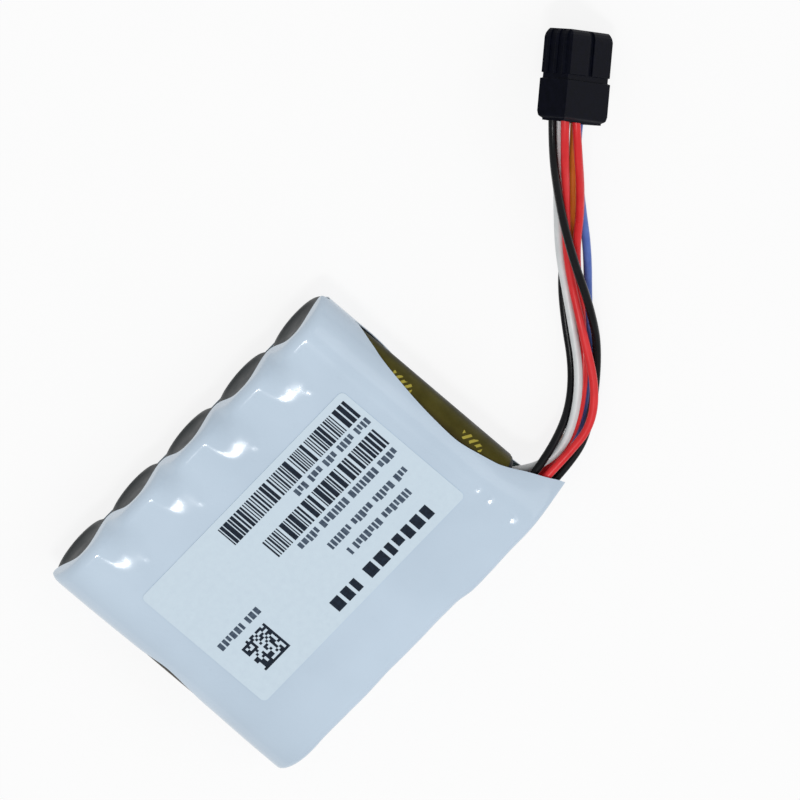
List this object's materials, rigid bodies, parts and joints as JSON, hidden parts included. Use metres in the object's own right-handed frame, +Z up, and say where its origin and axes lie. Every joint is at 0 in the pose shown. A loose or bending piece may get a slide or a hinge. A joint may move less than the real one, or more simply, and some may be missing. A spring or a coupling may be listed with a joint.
{
  "type": "capacitor backup pack",
  "caption": "Flat shrink-wrapped row of round capacitor cells with a board inside and a short wire bundle to a two-row plug, for holding up a storage controller's memory.",
  "frame": {"origin": "middle of the pack's underside, cable left out", "axes": "+X along the row of cells away from the cable's exit, +Y along the cells from their closed ends to their leads, +Z up out of the labelled face"},
  "size_m": [0.1282, 0.0548, 0.0164],
  "materials": {
    "film": "smooth shrink film with a soft sheen",
    "label": "coated paper with dark bars",
    "can": "satin slate",
    "sleeve": "olive sleeve with pale gold marks",
    "tinned_lead": "tinned",
    "board": "solder mask",
    "chip": "moulded",
    "small_capacitor": "plain",
    "sheet": "thin insulating sheet",
    "plug": "moulded",
    "terminal": "tin over bronze",
    "black_insulation": "smooth",
    "red_insulation": "smooth",
    "orange_insulation": "smooth",
    "blue_insulation": "smooth",
    "white_insulation": "smooth"
  },
  "bodies": {
    "root": {"cell_1": "can", "sleeve_1": "sleeve", "cell_2": "can", "sleeve_2": "sleeve", "cell_3": "can", "sleeve_3": "sleeve", "cell_4": "can", "sleeve_4": "sleeve", "cell_5": "can", "sleeve_5": "sleeve", "cell_leads": "tinned_lead", "solder_joints": "tinned_lead", "wire_posts": "tinned_lead", "circuit_board": "board", "memory_chip": "chip", "balance_resistors": "chip", "filter_capacitors": "small_capacitor", "insulating_sheet": "sheet", "wrap_film": "film", "label": "label", "plug_housing": "plug", "plug_dividers": "plug", "crimp_terminals": "terminal", "black_wire_1": "black_insulation", "black_wire_2": "black_insulation", "red_wire_1": "red_insulation", "red_wire_2": "red_insulation", "orange_wire": "orange_insulation", "blue_wire": "blue_insulation", "white_wire": "white_insulation"}
  },
  "joints": []
}
